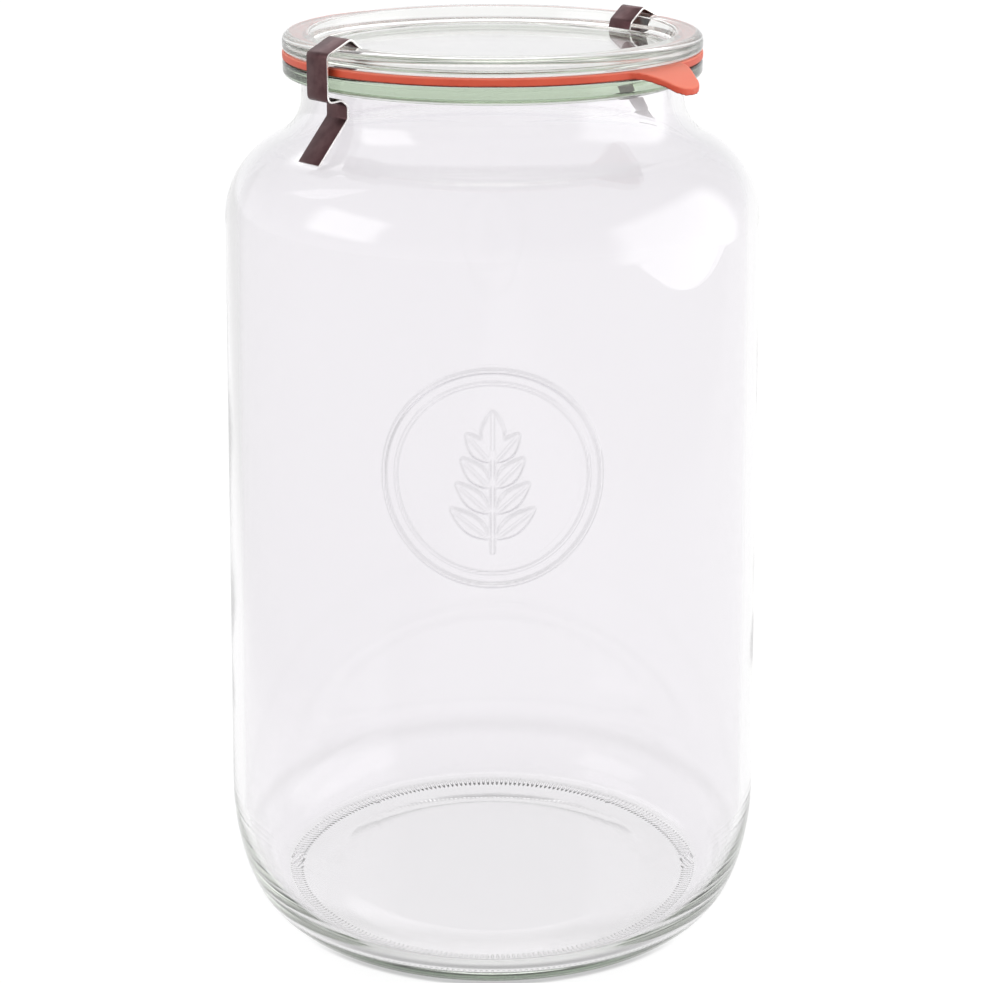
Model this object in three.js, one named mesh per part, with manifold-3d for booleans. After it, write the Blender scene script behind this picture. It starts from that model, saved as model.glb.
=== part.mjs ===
// Glass preserving jar: body, glass lid, rubber sealing ring and two spring clips.
// Millimetres, +Z up. The origin is the centre of the circle that the jar stands on.
// The front, with the embossed medallion, faces -Y.
import * as THREE from 'three';
import { mergeVertices } from 'three/addons/utils/BufferGeometryUtils.js';
import Module from 'manifold-3d';

const wasm = await Module();
wasm.setup();

// Driving dimensions of the glass body
const MOUTH_OUTER_R = 60;
const MOUTH_INNER_R = 51.5;
const NECK_OUTER_R = 54.9;
const SHOULDER_R = 77.6;
const HEEL_R = 80.9;
const WALL = 3.4;
const RIM_TOP_Z = 259.6;
const RIM_HEIGHT = 4.3;
const RIM_BOTTOM_Z = RIM_TOP_Z - RIM_HEIGHT;
const RIM_LOWER_ROUND = 1.2;
const RIM_UPPER_ROUND = 0.8;
const MOUTH_ROUND = 1;
const NECK_FILLET = 1.6;
const NECK_Z = 249.6;
const NECK_CURVE_R = 13.8;
const SHOULDER_CURVE_R = 25.1;
const SHOULDER_Z = 214.05;
const SHOULDER_TURN_DEG = 60.2;
const HEEL_HEIGHT = 36.5;
const HEEL_INSET = 14.2;
const FOOT_INNER_R = 56;
const PUNT_R = 46;
const PUNT_DEPTH = 1;
const FLOOR_Z = 5.6;
const INNER_HEEL_INSET = 13;

// Driving dimensions of the lid and the sealing ring
const GAP = 0.3;
const RING_THICK = 1.95;
const RING_INNER_R = 54;
const RING_ROUND = 0.5;
const LID_RIM_HEIGHT = 5;
const LID_TOP_ROUND = 2.4;
const LID_EDGE_ROUND = 1.2;
const LID_PLUG_R = 49.6;
const LID_PLUG_DROP = 5;
const LID_PLUG_ROUND = 1.5;
const LID_PLUG_STEP = 0.7;
const LID_PLUG_DRAFT = 0.2;
const LID_RIM_INNER_R = 53.2;
const LID_WELL_R = 49.9;
const LID_WELL_ROUND = 1.2;
const LID_WELL_DEPTH = 4.4;
const LID_WELL_DRAFT_DEG = 20;

// Pull tab of the ring, measured outwards from the ring's edge
const TAB_AZIMUTH = 49;
const TAB_ROOT_WIDTH = 25;
const TAB_TIP_WIDTH = 13;
const TAB_LENGTH = 11.4;
const TAB_DROOP = 5;
const TAB_THICK = 1.9;
const TAB_ROOT_REACH = 4;
const TAB_ROOT_INSET = 1;
const TAB_FLARE = 5;
const TAB_TIP_CURVE = 4;
const TAB_DROOP_START = 1;
const TAB_DROOP_POWER = 1.5;
const TAB_FACET = 2.6;

// Spring clips, two bent steel strips on opposite sides
const CLIP_AZIMUTHS = { clip_front: -49.5, clip_back: 129.3 };
const CLIP_WIDTH = 9.2;
const CLIP_THICK = 0.6;
const CLIP_BEND_R = 1.6;
const CLIP_FOOT_INSET = 1.1;
const CLIP_FOOT_LIFT = 0.5;
const CLIP_KNEE_INSET = 0.4;
const CLIP_KNEE_DROP = 1.6;
const CLIP_RIDGE_OUT = 1;
const CLIP_RIDGE_RISE = 2.3;
const CLIP_SHOULDER_DROP = 1.5;
const CLIP_LEG_R = MOUTH_OUTER_R + 2.2;
const CLIP_LEG_FOOT = 2.4;
const CLIP_HOOK_R = NECK_OUTER_R + 0.75;
const CLIP_HOOK_START = 2;
const CLIP_HOOK_END = 3.6;
const CLIP_TAB_DROP = 1.6;
const CLIP_TAB_REACH = 10.15;
const CLIP_TAB_FALL = 13.4;

// Embossed medallion on the front of the body
const MEDAL_Z = 157.6;
const MEDAL_R = 31;
const MEDAL_BORDER = 1.6;
const MEDAL_RELIEF = 0.7;
const MEDAL_ROOT = 0.8;
const STEM_HALF_WIDTH = 0.7;
const STEM_FOOT_Y = -21;
const STEM_TOP_Y = 9;
const TOP_LEAF_Y = 8;
const LEAF_PAIRS = 3;
const LEAF_FIRST_Y = -15;
const LEAF_STEP = 9;
const LEAF_ROOT_X = 0.3;
const LEAF_LEAN = Math.PI / 5;
const LEAF_LENGTH = 15;
const LEAF_WIDTH = 6.4;

// Facets round the jar's axis
const ROUND_SEGMENTS = 48;

const COLOURS = {
  glass: { color: 0xe9eeec, roughness: 0.05, metalness: 0 },
  rubber: { color: 0xe8552f, roughness: 0.6, metalness: 0 },
  steel: { color: 0x6e5a5c, roughness: 0.35, metalness: 1 },
};

// Points of an arc in the (r, z) plane, both ends included. A height makes it elliptical.
function arc(r, z, radius, startDeg, endDeg, count, height = radius) {
  const points = [];
  for (let i = 0; i < count; i += 1) {
    const a = THREE.MathUtils.degToRad(startDeg + ((endDeg - startDeg) * i) / (count - 1));
    points.push(new THREE.Vector2(r + radius * Math.cos(a), z + height * Math.sin(a)));
  }
  return points;
}

function point(r, z) {
  return new THREE.Vector2(r, z);
}

// Leaves out points that fall on their neighbour
function tidyOutline(points) {
  return points.filter((p, i) => i === 0 || p.distanceTo(points[i - 1]) > 1e-4);
}

// Turns an outline in (r, z) about the Z axis. The outline runs outwards and up,
// so that the lathe's faces point out after Y up becomes Z up.
function revolve(outline) {
  const geometry = new THREE.LatheGeometry(tidyOutline(outline), ROUND_SEGMENTS);
  geometry.rotateX(Math.PI / 2);
  return geometry;
}

function toManifold(geometry) {
  const bare = geometry.clone();
  bare.deleteAttribute('normal');
  bare.deleteAttribute('uv');
  const merged = mergeVertices(bare, 1e-4);
  const kept = [];
  const index = merged.index.array;
  for (let i = 0; i < index.length; i += 3) {
    const [a, b, c] = [index[i], index[i + 1], index[i + 2]];
    if (a !== b && b !== c && a !== c) kept.push(a, b, c);
  }
  const mesh = new wasm.Mesh({
    numProp: 3,
    vertProperties: new Float32Array(merged.attributes.position.array),
    triVerts: new Uint32Array(kept),
  });
  return new wasm.Manifold(mesh);
}

function toGeometry(solid) {
  const mesh = solid.getMesh();
  const geometry = new THREE.BufferGeometry();
  const positions = new Float32Array(mesh.numVert * 3);
  for (let v = 0; v < mesh.numVert; v += 1) {
    for (let k = 0; k < 3; k += 1) {
      positions[v * 3 + k] = mesh.vertProperties[v * mesh.numProp + k];
    }
  }
  geometry.setAttribute('position', new THREE.BufferAttribute(positions, 3));
  geometry.setIndex(Array.from(mesh.triVerts));
  geometry.computeVertexNormals();
  return geometry;
}

function namedMesh(name, solid, finish) {
  const mesh = new THREE.Mesh(toGeometry(solid), new THREE.MeshStandardMaterial(COLOURS[finish]));
  mesh.name = name;
  return mesh;
}

// The shoulder is two arcs that touch: a convex one that leaves the wall and a concave
// one that runs up into the neck. They turn by the same angle.
const NECK_CENTRE = point(NECK_OUTER_R + NECK_CURVE_R, NECK_Z);
const SHOULDER_CENTRE = point(SHOULDER_R - SHOULDER_CURVE_R, SHOULDER_Z);

function bodyOutside() {
  const filletZ = RIM_BOTTOM_Z - NECK_FILLET;
  const lowerR = MOUTH_OUTER_R - RIM_LOWER_ROUND;
  const lowerZ = RIM_BOTTOM_Z + RIM_LOWER_ROUND;
  const upperR = MOUTH_OUTER_R - RIM_UPPER_ROUND;
  const upperZ = RIM_TOP_Z - RIM_UPPER_ROUND;
  return [
    point(0, PUNT_DEPTH),
    point(PUNT_R, PUNT_DEPTH),
    point(FOOT_INNER_R, 0),
    ...arc(HEEL_R - HEEL_INSET, HEEL_HEIGHT, HEEL_INSET, -90, 0, 8, HEEL_HEIGHT),
    ...arc(SHOULDER_CENTRE.x, SHOULDER_CENTRE.y, SHOULDER_CURVE_R, 0, SHOULDER_TURN_DEG, 6),
    ...arc(NECK_CENTRE.x, NECK_CENTRE.y, NECK_CURVE_R, 180 + SHOULDER_TURN_DEG, 180, 5),
    ...arc(NECK_OUTER_R + NECK_FILLET, filletZ, NECK_FILLET, 180, 90, 3),
    ...arc(lowerR, lowerZ, RIM_LOWER_ROUND, -90, 0, 3),
    ...arc(upperR, upperZ, RIM_UPPER_ROUND, 0, 90, 3),
  ];
}

function bodyInside() {
  const throatArc = NECK_CURVE_R + NECK_OUTER_R - MOUTH_INNER_R;
  const shoulderArc = SHOULDER_CURVE_R - WALL;
  const floorR = HEEL_R - WALL - INNER_HEEL_INSET;
  return [
    ...arc(MOUTH_INNER_R + MOUTH_ROUND, RIM_TOP_Z - MOUTH_ROUND, MOUTH_ROUND, 90, 180, 3),
    ...arc(NECK_CENTRE.x, NECK_CENTRE.y, throatArc, 180, 180 + SHOULDER_TURN_DEG, 5),
    ...arc(SHOULDER_CENTRE.x, SHOULDER_CENTRE.y, shoulderArc, SHOULDER_TURN_DEG, 0, 6),
    ...arc(floorR, HEEL_HEIGHT, INNER_HEEL_INSET, 0, -90, 6, HEEL_HEIGHT - FLOOR_Z),
    point(0, FLOOR_Z),
  ];
}

// Radius of the straight wall at a height, halfway round the slight taper
function wallRadius(z) {
  const t = (z - HEEL_HEIGHT) / (SHOULDER_Z - HEEL_HEIGHT);
  return HEEL_R + (SHOULDER_R - HEEL_R) * t;
}

// Wraps a flat extruded shape, drawn in x across and y up, onto the front wall.
// Its depth runs from inside the wall to the height of the relief.
function wrapOnWall(geometry) {
  const position = geometry.attributes.position;
  for (let i = 0; i < position.count; i += 1) {
    const across = position.getX(i);
    const z = MEDAL_Z + position.getY(i);
    const r = wallRadius(z) - MEDAL_ROOT + position.getZ(i);
    const angle = across / wallRadius(MEDAL_Z);
    position.setXYZ(i, r * Math.sin(angle), -r * Math.cos(angle), z);
  }
  return geometry;
}

function reliefOf(shape, curveSegments) {
  const settings = { depth: MEDAL_ROOT + MEDAL_RELIEF, bevelEnabled: false, curveSegments };
  return toManifold(wrapOnWall(new THREE.ExtrudeGeometry(shape, settings)));
}

// A leaf is two arcs between its root and its tip
function leafShape(x, y, angle) {
  const ex = Math.cos(angle);
  const ey = Math.sin(angle);
  const at = (along, side) => [x + along * ex - side * ey, y + along * ey + side * ex];
  const shape = new THREE.Shape();
  shape.moveTo(...at(0, 0));
  shape.quadraticCurveTo(...at(LEAF_LENGTH / 2, LEAF_WIDTH), ...at(LEAF_LENGTH, 0));
  shape.quadraticCurveTo(...at(LEAF_LENGTH / 2, -LEAF_WIDTH), ...at(0, 0));
  return shape;
}

function medallion() {
  const border = new THREE.Shape();
  border.absarc(0, 0, MEDAL_R, 0, Math.PI * 2, false);
  const hole = new THREE.Path();
  hole.absarc(0, 0, MEDAL_R - MEDAL_BORDER, 0, Math.PI * 2, true);
  border.holes.push(hole);
  const stem = new THREE.Shape();
  stem.moveTo(-STEM_HALF_WIDTH, STEM_FOOT_Y);
  stem.lineTo(STEM_HALF_WIDTH, STEM_FOOT_Y);
  stem.lineTo(STEM_HALF_WIDTH, STEM_TOP_Y);
  stem.lineTo(-STEM_HALF_WIDTH, STEM_TOP_Y);
  const topLeaf = leafShape(0, TOP_LEAF_Y, Math.PI / 2);
  const pieces = [reliefOf(border, 20), reliefOf(stem, 1), reliefOf(topLeaf, 4)];
  for (let pair = 0; pair < LEAF_PAIRS; pair += 1) {
    const y = LEAF_FIRST_Y + pair * LEAF_STEP;
    pieces.push(reliefOf(leafShape(LEAF_ROOT_X, y, LEAF_LEAN), 4));
    pieces.push(reliefOf(leafShape(-LEAF_ROOT_X, y, Math.PI - LEAF_LEAN), 4));
  }
  return pieces.reduce((sum, piece) => sum.add(piece));
}

function makeJar() {
  const glass = toManifold(revolve([...bodyOutside(), ...bodyInside()]));
  return glass.add(medallion());
}

const RING_BOTTOM_Z = RIM_TOP_Z + GAP;
const RING_TOP_Z = RING_BOTTOM_Z + RING_THICK;
const LID_BOTTOM_Z = RING_TOP_Z + GAP;
const LID_TOP_Z = LID_BOTTOM_Z + LID_RIM_HEIGHT;

function makeLid() {
  const plugZ = LID_BOTTOM_Z - LID_PLUG_DROP;
  const wellZ = LID_TOP_Z - LID_WELL_DEPTH;
  const edgeR = MOUTH_OUTER_R - LID_EDGE_ROUND;
  const topR = MOUTH_OUTER_R - LID_TOP_ROUND;
  const outline = [
    point(0, plugZ),
    ...arc(LID_PLUG_R - LID_PLUG_ROUND, plugZ + LID_PLUG_ROUND, LID_PLUG_ROUND, -90, 0, 3),
    point(LID_PLUG_R + LID_PLUG_DRAFT, LID_BOTTOM_Z - (LID_PLUG_STEP - LID_PLUG_DRAFT)),
    point(LID_PLUG_R + LID_PLUG_STEP, LID_BOTTOM_Z),
    ...arc(edgeR, LID_BOTTOM_Z + LID_EDGE_ROUND, LID_EDGE_ROUND, -90, 0, 3),
    ...arc(topR, LID_TOP_Z - LID_TOP_ROUND, LID_TOP_ROUND, 0, 90, 4),
    ...arc(LID_RIM_INNER_R, LID_TOP_Z - LID_WELL_ROUND, LID_WELL_ROUND, 90, 180 - LID_WELL_DRAFT_DEG, 3),
    ...arc(LID_WELL_R, wellZ + LID_WELL_ROUND, LID_WELL_ROUND, -LID_WELL_DRAFT_DEG, -90, 3),
    point(0, wellZ),
  ];
  return toManifold(revolve(outline));
}

// The tab's outline is drawn with x along the ring and y outwards, then bent down
function makeTab() {
  const shape = new THREE.Shape();
  const rootHalf = TAB_ROOT_WIDTH / 2;
  const tipHalf = TAB_TIP_WIDTH / 2;
  const rootY = MOUTH_OUTER_R - TAB_ROOT_REACH;
  const edgeY = Math.sqrt(MOUTH_OUTER_R ** 2 - rootHalf ** 2);
  const tipY = MOUTH_OUTER_R + TAB_LENGTH;
  const flareHalf = rootHalf - TAB_ROOT_INSET / 2 - TAB_DROOP_START;
  const sideY = tipY - TAB_TIP_CURVE;
  shape.moveTo(-rootHalf + TAB_ROOT_INSET, rootY);
  shape.lineTo(rootHalf - TAB_ROOT_INSET, rootY);
  shape.lineTo(rootHalf, edgeY);
  shape.quadraticCurveTo(flareHalf, edgeY + TAB_FLARE, tipHalf, sideY);
  shape.quadraticCurveTo(tipHalf - TAB_ROOT_INSET, tipY, 0, tipY);
  shape.quadraticCurveTo(-tipHalf + TAB_ROOT_INSET, tipY, -tipHalf, sideY);
  shape.quadraticCurveTo(-flareHalf, edgeY + TAB_FLARE, -rootHalf, edgeY);
  shape.closePath();
  const flat = new THREE.ExtrudeGeometry(shape, {
    depth: TAB_THICK,
    bevelEnabled: false,
    curveSegments: 5,
  });
  const lift = (RING_BOTTOM_Z + RING_TOP_Z - TAB_THICK) / 2;
  const bendStart = MOUTH_OUTER_R + TAB_DROOP_START;
  let solid = toManifold(flat);
  // Cut lines across the tab give the bend its facets
  for (let y = bendStart; y < tipY; y += TAB_FACET) {
    const half = solid.splitByPlane([0, 1, 0], y);
    solid = half[0].add(half[1]);
  }
  solid = solid.warp((v) => {
    const out = Math.max(0, v[1] - bendStart) / (tipY - bendStart);
    v[2] += lift - TAB_DROOP * out ** TAB_DROOP_POWER;
  });
  // Local +Y is outwards: azimuth 0 is the front, -Y, and it grows towards +X
  return solid.rotate([0, 0, TAB_AZIMUTH - 180]);
}

function makeRing() {
  const innerR = RING_INNER_R + RING_ROUND;
  const outerR = MOUTH_OUTER_R - RING_ROUND;
  const lowZ = RING_BOTTOM_Z + RING_ROUND;
  const highZ = RING_TOP_Z - RING_ROUND;
  const outline = [
    ...arc(innerR, lowZ, RING_ROUND, 180, 270, 3),
    ...arc(outerR, lowZ, RING_ROUND, -90, 0, 3),
    ...arc(outerR, highZ, RING_ROUND, 0, 90, 3),
    ...arc(innerR, highZ, RING_ROUND, 90, 180, 3),
  ];
  outline.push(outline[0].clone());
  return toManifold(revolve(outline)).add(makeTab());
}

// Centre line of a clip in (r, z): foot in the lid's well, arch over the lid's rim,
// straight leg outside, hook under the rim of the body, and the finger tab that
// ends just off the shoulder.
const CLIP_LINE = [
  point(LID_WELL_R - CLIP_FOOT_INSET, LID_TOP_Z - LID_WELL_DEPTH + CLIP_FOOT_LIFT),
  point(LID_WELL_R - CLIP_KNEE_INSET, LID_TOP_Z - CLIP_KNEE_DROP),
  point(LID_RIM_INNER_R + CLIP_RIDGE_OUT, LID_TOP_Z + CLIP_RIDGE_RISE),
  point(CLIP_LEG_R, LID_TOP_Z - CLIP_SHOULDER_DROP),
  point(CLIP_LEG_R, RIM_BOTTOM_Z - CLIP_LEG_FOOT),
  point(CLIP_HOOK_R + CLIP_HOOK_START, RIM_BOTTOM_Z - CLIP_HOOK_START),
  point(CLIP_HOOK_R, RIM_BOTTOM_Z - CLIP_HOOK_END),
  point(CLIP_HOOK_R, NECK_Z - CLIP_TAB_DROP),
  point(CLIP_HOOK_R + CLIP_TAB_REACH, NECK_Z - CLIP_TAB_FALL),
];

// Rounds each inner corner of a line with a short arc of the bend radius
function roundedLine(line, radius) {
  const rounded = [line[0]];
  for (let i = 1; i < line.length - 1; i += 1) {
    const back = line[i - 1].clone().sub(line[i]).normalize();
    const ahead = line[i + 1].clone().sub(line[i]).normalize();
    const half = Math.acos(back.dot(ahead)) / 2;
    const room = 0.45 * Math.min(line[i].distanceTo(line[i - 1]), line[i].distanceTo(line[i + 1]));
    const reach = Math.min(radius / Math.tan(half), room);
    const start = line[i].clone().addScaledVector(back, reach);
    const end = line[i].clone().addScaledVector(ahead, reach);
    const curve = new THREE.QuadraticBezierCurve(start, line[i], end);
    rounded.push(...curve.getPoints(3));
  }
  rounded.push(line[line.length - 1]);
  return rounded;
}

// Offsets a line to one side by a distance, mitred at its corners
function offsetLine(line, distance) {
  return line.map((p, i) => {
    const before = line[Math.max(i - 1, 0)];
    const after = line[Math.min(i + 1, line.length - 1)];
    const into = i === 0 ? after.clone().sub(p) : p.clone().sub(before);
    const out = i === line.length - 1 ? into.clone() : after.clone().sub(p);
    into.normalize();
    out.normalize();
    const along = into.clone().add(out).normalize();
    const stretch = distance / Math.max(0.5, along.dot(into));
    return point(p.x - along.y * stretch, p.y + along.x * stretch);
  });
}

function makeClip(azimuth) {
  const middle = roundedLine(CLIP_LINE, CLIP_BEND_R);
  const outer = offsetLine(middle, CLIP_THICK / 2);
  const inner = offsetLine(middle, -CLIP_THICK / 2);
  const shape = new THREE.Shape([...outer, ...inner.reverse()]);
  const strip = new THREE.ExtrudeGeometry(shape, { depth: CLIP_WIDTH, bevelEnabled: false });
  // The outline's x is radial and its y is up: centre the width, then stand it up
  strip.translate(0, 0, -CLIP_WIDTH / 2);
  strip.rotateX(Math.PI / 2);
  strip.rotateZ(THREE.MathUtils.degToRad(azimuth - 90));
  return toManifold(strip);
}

const jar = new THREE.Group();
jar.add(namedMesh('jar_body', makeJar(), 'glass'));
jar.add(namedMesh('glass_lid', makeLid(), 'glass'));
jar.add(namedMesh('sealing_ring', makeRing(), 'rubber'));
for (const [name, azimuth] of Object.entries(CLIP_AZIMUTHS)) {
  jar.add(namedMesh(name, makeClip(azimuth), 'steel'));
}

export default jar;
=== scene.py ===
# %% [markdown]
# A preserving jar in clear glass
#
# The object is a tall glass jar. A flat glass lid lies on an orange rubber ring, and two
# bent steel strips clamp the lid to the rim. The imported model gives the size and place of
# each part, and this lesson builds the fine surfaces round it: glass with a real wall
# thickness, moulded rubber, and spring steel with bright cut edges.

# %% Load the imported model
import bpy
import bmesh
import math
from mathutils import Matrix, Vector


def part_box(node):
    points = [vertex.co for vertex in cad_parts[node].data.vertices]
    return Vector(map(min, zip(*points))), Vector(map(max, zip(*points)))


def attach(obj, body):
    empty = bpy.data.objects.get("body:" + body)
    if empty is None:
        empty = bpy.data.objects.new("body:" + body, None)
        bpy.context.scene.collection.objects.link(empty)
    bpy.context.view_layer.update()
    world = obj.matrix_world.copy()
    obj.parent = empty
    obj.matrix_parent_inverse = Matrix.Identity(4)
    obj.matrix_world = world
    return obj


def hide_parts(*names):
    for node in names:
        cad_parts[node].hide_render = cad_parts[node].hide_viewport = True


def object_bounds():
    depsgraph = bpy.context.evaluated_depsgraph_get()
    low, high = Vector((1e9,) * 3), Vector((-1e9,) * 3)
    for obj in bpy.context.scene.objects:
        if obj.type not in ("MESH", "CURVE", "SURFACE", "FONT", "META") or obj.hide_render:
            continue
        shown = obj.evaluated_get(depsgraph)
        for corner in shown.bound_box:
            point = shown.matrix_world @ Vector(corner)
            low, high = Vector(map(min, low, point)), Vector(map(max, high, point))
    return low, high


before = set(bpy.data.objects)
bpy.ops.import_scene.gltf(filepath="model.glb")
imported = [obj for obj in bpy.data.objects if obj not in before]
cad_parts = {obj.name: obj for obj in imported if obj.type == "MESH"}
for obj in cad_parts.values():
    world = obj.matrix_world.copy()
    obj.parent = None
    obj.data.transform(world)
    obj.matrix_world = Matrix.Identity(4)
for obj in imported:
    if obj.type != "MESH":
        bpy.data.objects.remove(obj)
cad_low, cad_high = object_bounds()
print("packed parts:", ", ".join(sorted(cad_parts)))

MM = 0.001
jar_low, jar_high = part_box("jar_body")
lid_low, lid_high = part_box("glass_lid")
ring_low, ring_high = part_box("sealing_ring")
print("overall height %.1f mm" % ((cad_high.z - cad_low.z) / MM))
print("jar %.1f mm high without its lid" % ((jar_high.z - jar_low.z) / MM))
print("ring and tab %.1f mm wide" % ((ring_high.x - ring_low.x) / MM))

# %% [markdown]
# Where the camera stands
#
# A product picture is taken a little above the object with a long lens. The camera's
# place was worked out from the ellipses that the lid and the foot make in the picture:
# their flatness gives the height, and the difference between them the distance. The
# camera comes first, because every later step is judged through it.

# %% Camera
CAMERA_DISTANCE = 708.9 * MM
CAMERA_HEIGHT = 360.2 * MM
CAMERA_PITCH = math.radians(18.1)
CAMERA_SIDE = -0.3 * MM
LENS_IN_PICTURE_WIDTHS = 2466 / 983
SENSOR_WIDTH = 36
NEAREST_SEEN = 0.05
FARTHEST_SEEN = 40

lens_data = bpy.data.cameras.new("camera")
lens_data.sensor_width = SENSOR_WIDTH
lens_data.lens = SENSOR_WIDTH * LENS_IN_PICTURE_WIDTHS
lens_data.clip_start = NEAREST_SEEN
lens_data.clip_end = FARTHEST_SEEN
camera = bpy.data.objects.new("camera", lens_data)
camera.location = (CAMERA_SIDE, -CAMERA_DISTANCE, CAMERA_HEIGHT)
camera.rotation_euler = (math.pi / 2 - CAMERA_PITCH, 0, 0)
bpy.context.scene.collection.objects.link(camera)
bpy.context.scene.camera = camera
print("lens %.1f mm" % lens_data.lens)

# %% [markdown]
# Outlines from arcs
#
# Everything blown or pressed round an axis can be drawn as half a section and turned. A
# section made of arcs and straight runs stays smooth at any number of points, and it
# needs only the radii that a glassmaker would write on the drawing. Where an arc meets a
# long flat, the shading would bend the flat too, so each flat is held by a point close to
# both of its ends.

# %% Helpers for outlines
HELD_NEAR = 0.12 * MM
LONG_RUN = 16 * HELD_NEAR
SAME_POINT = 1e-6


def arc(r, z, radius, start, end, count, height=None):
    """Points (r, z) in metres on an arc or a quarter of an ellipse, angles in degrees."""
    tall = radius if height is None else height
    points = []
    for i in range(count):
        angle = math.radians(start + (end - start) * i / (count - 1))
        points.append((r + radius * math.cos(angle), z + tall * math.sin(angle)))
    return points


def run(start, end, count):
    """Points on a straight run, without its first point."""
    return [
        (start[0] + (end[0] - start[0]) * i / count, start[1] + (end[1] - start[1]) * i / count)
        for i in range(1, count + 1)
    ]


def soft_ridge(distance, half_width):
    """1 on the middle of a ridge, falling smoothly to 0 at its edge."""
    share = min(1.0, abs(distance) / half_width)
    return 0.5 + 0.5 * math.cos(math.pi * share)


def held(outline):
    """Adds a point close to both ends of each long run, so that flats are shaded flat."""
    points = [outline[0]]
    for before, after in zip(outline, outline[1:]):
        length = math.dist(before, after)
        if length > LONG_RUN:
            for share in (HELD_NEAR / length, 1 - HELD_NEAR / length):
                points.append(tuple(a + (b - a) * share for a, b in zip(before, after)))
        points.append(after)
    return points


def outline_mesh(outline):
    """A bmesh that holds the outline as a chain of edges in the plane x, z."""
    bm = bmesh.new()
    verts = []
    for r, z in held(outline):
        if not verts or (verts[-1].co - Vector((r, 0, z))).length > SAME_POINT:
            verts.append(bm.verts.new((r, 0, z)))
    for first, second in zip(verts, verts[1:]):
        bm.edges.new((first, second))
    return bm


# %% Helpers for turned meshes and finished pieces
WELD_DISTANCE = 0.004 * MM


def turn(bm, geometry, degrees, steps):
    """Spins geometry about the upright axis and gives back the last copy."""
    spun = bmesh.ops.spin(
        bm, geom=geometry, cent=(0, 0, 0), axis=(0, 0, 1), angle=math.radians(degrees),
        steps=steps, use_merge=degrees == 360, use_duplicate=False,
    )
    return spun["geom_last"]


def turned_upright(bm, angle):
    """Rotates a whole mesh about the upright axis."""
    bmesh.ops.rotate(bm, verts=bm.verts, cent=(0, 0, 0), matrix=Matrix.Rotation(angle, 3, "Z"))


def close_up(bm):
    """Welds the seam and the poles, then points every face outwards."""
    bmesh.ops.remove_doubles(bm, verts=bm.verts, dist=WELD_DISTANCE)
    bmesh.ops.recalc_face_normals(bm, faces=bm.faces)


def piece_from(bm, name, node, material):
    """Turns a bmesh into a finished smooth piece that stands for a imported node."""
    mesh = bpy.data.meshes.new(name)
    bm.to_mesh(mesh)
    bm.free()
    for polygon in mesh.polygons:
        polygon.use_smooth = True
    piece = bpy.data.objects.new(name, mesh)
    bpy.context.scene.collection.objects.link(piece)
    piece.data.materials.append(material)
    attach(piece, "root")
    if node:
        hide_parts(node)
    print("%s: %d faces" % (name, len(mesh.polygons)))
    return piece


# %% [markdown]
# Clear glass
#
# Soda-lime glass bends light with an index of about 1.52, and a trace of iron turns it
# faintly green over a long way through it. A thin shell with a see-through shader would
# look like plastic film. So the shader is a fully transmitting one over a real wall. Its
# colour takes a little light at each surface, and its inside absorbs very slightly.
# Pressed glass is never quite flat, and a very low bump gives the slow waves that break
# up its reflections.

# %% Helpers for glass
GLASS_INDEX = 1.52
GREEN_OF_IRON = (0.28, 0.48, 0.16, 1)
WAVE_DETAIL = 1.5
WAVE_ROUGHNESS = 0.4


def shader_nodes(name):
    """A new material with its nodes, its links and its main shader."""
    material = bpy.data.materials.new(name)
    material.use_nodes = True
    nodes = material.node_tree.nodes
    return material, nodes, material.node_tree.links, nodes["Principled BSDF"]


def glass_material(name, tint, iron, wave_height, wave_scale):
    """Clear glass with slow waves in its surface."""
    material, nodes, links, shader = shader_nodes(name)
    shader.inputs["Base Color"].default_value = tint
    shader.inputs["Roughness"].default_value = 0.0
    shader.inputs["IOR"].default_value = GLASS_INDEX
    shader.inputs["Transmission Weight"].default_value = 1.0
    place = nodes.new("ShaderNodeTexCoord")
    waves = nodes.new("ShaderNodeTexNoise")
    waves.inputs["Scale"].default_value = wave_scale
    waves.inputs["Detail"].default_value = WAVE_DETAIL
    waves.inputs["Roughness"].default_value = WAVE_ROUGHNESS
    bump = nodes.new("ShaderNodeBump")
    bump.inputs["Strength"].default_value = 1.0
    bump.inputs["Distance"].default_value = wave_height
    links.new(place.outputs["Object"], waves.inputs["Vector"])
    links.new(waves.outputs["Fac"], bump.inputs["Height"])
    links.new(bump.outputs["Normal"], shader.inputs["Normal"])
    inside = nodes.new("ShaderNodeVolumeAbsorption")
    inside.inputs["Color"].default_value = GREEN_OF_IRON
    inside.inputs["Density"].default_value = iron
    links.new(inside.outputs["Volume"], nodes["Material Output"].inputs["Volume"])
    return material


# %% Glass of the body and of the lid
WALL_TINT = (0.921, 0.908, 0.927, 1)
BODY_IRON = 2.0
BODY_WAVE_HEIGHT = 0.10 * MM
BODY_WAVE_SCALE = 22
body_glass = glass_material(
    "clear_glass_body", WALL_TINT, BODY_IRON, BODY_WAVE_HEIGHT, BODY_WAVE_SCALE
)

LID_TINT = (0.920, 0.918, 0.910, 1)
LID_IRON = 1.5
LID_WAVE_HEIGHT = 0.05 * MM
LID_WAVE_SCALE = 30
lid_glass = glass_material("clear_glass_lid", LID_TINT, LID_IRON, LID_WAVE_HEIGHT, LID_WAVE_SCALE)
print("glass of index", GLASS_INDEX)
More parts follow.
